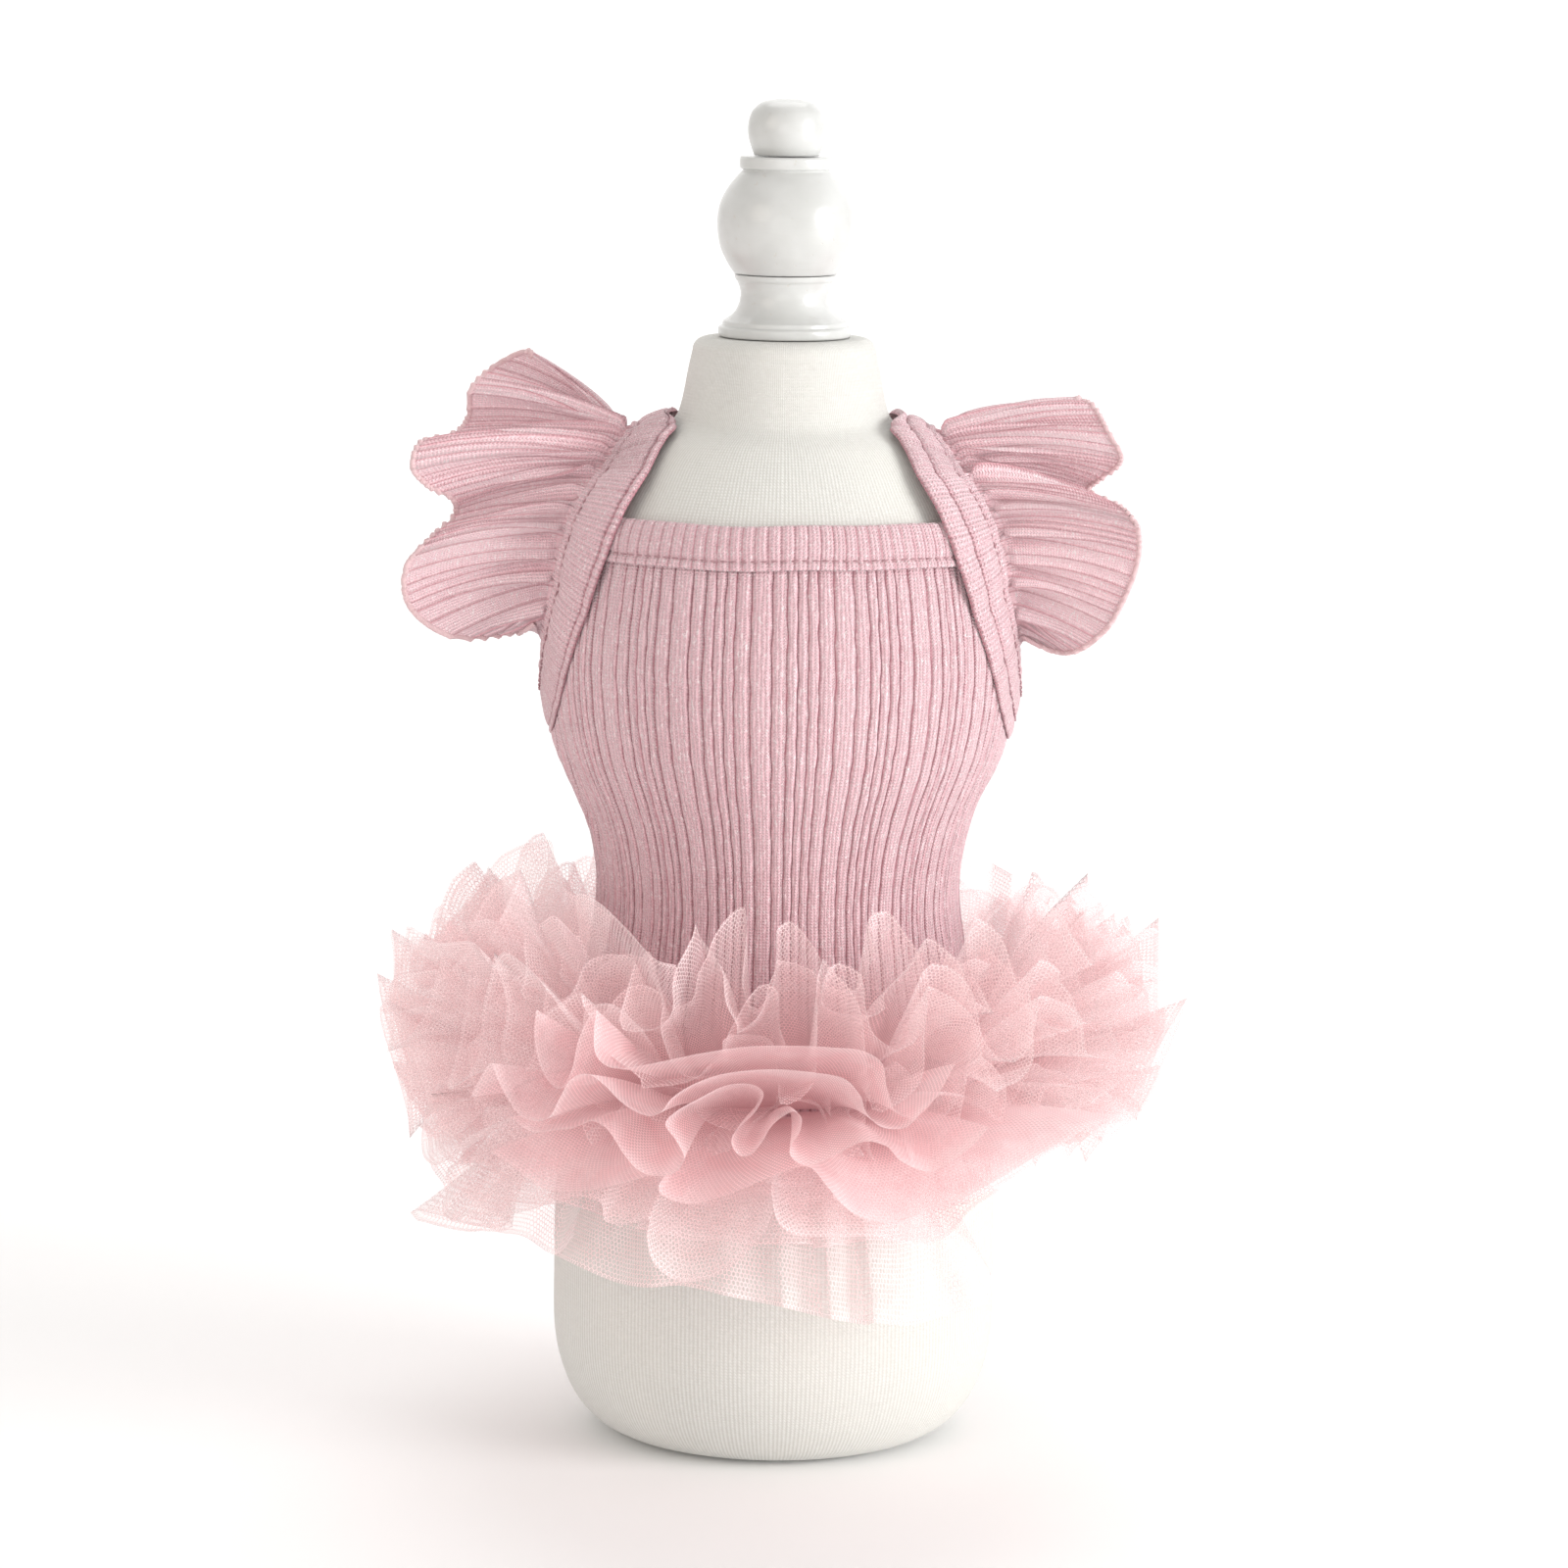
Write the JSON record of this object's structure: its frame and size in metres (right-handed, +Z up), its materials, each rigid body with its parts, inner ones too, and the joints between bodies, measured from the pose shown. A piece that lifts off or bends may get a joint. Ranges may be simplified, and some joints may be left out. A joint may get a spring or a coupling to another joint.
{
  "type": "tutu dog dress on a dress form",
  "caption": "Small dog dress with a ribbed halter bodice, flutter sleeves and a fanned tulle skirt, worn by a limbless padded dress form with a turned wooden finial",
  "frame": {"origin": "centre of the dress form's flat base, on the surface it stands on", "axes": "+Z up through the neck to the finial; the front of the dress faces -Y; +X is on the right as seen from the front"},
  "size_m": [0.209, 0.2045, 0.356],
  "materials": {
    "form_cloth": "fine off-white jersey over a padded body",
    "painted_wood": "white gloss paint on turned wood",
    "rib_knit": "dusty pink brushed rib knit",
    "tulle": "dusty pink soft net"
  },
  "bodies": {
    "root": {"form_body": "form_cloth", "finial_foot": "painted_wood", "finial_ball": "painted_wood", "finial_knob": "painted_wood", "bodice_front": "rib_knit", "bodice_back": "rib_knit", "neck_binding_front": "rib_knit", "neck_binding_back": "rib_knit", "armhole_band_left": "rib_knit", "armhole_band_right": "rib_knit", "flounce_left": "rib_knit", "flounce_right": "rib_knit", "tulle_tier_1": "tulle", "tulle_tier_2": "tulle", "tulle_tier_3": "tulle", "tulle_tier_4": "tulle", "tulle_tier_5": "tulle", "tulle_tier_6": "tulle"}
  },
  "joints": []
}
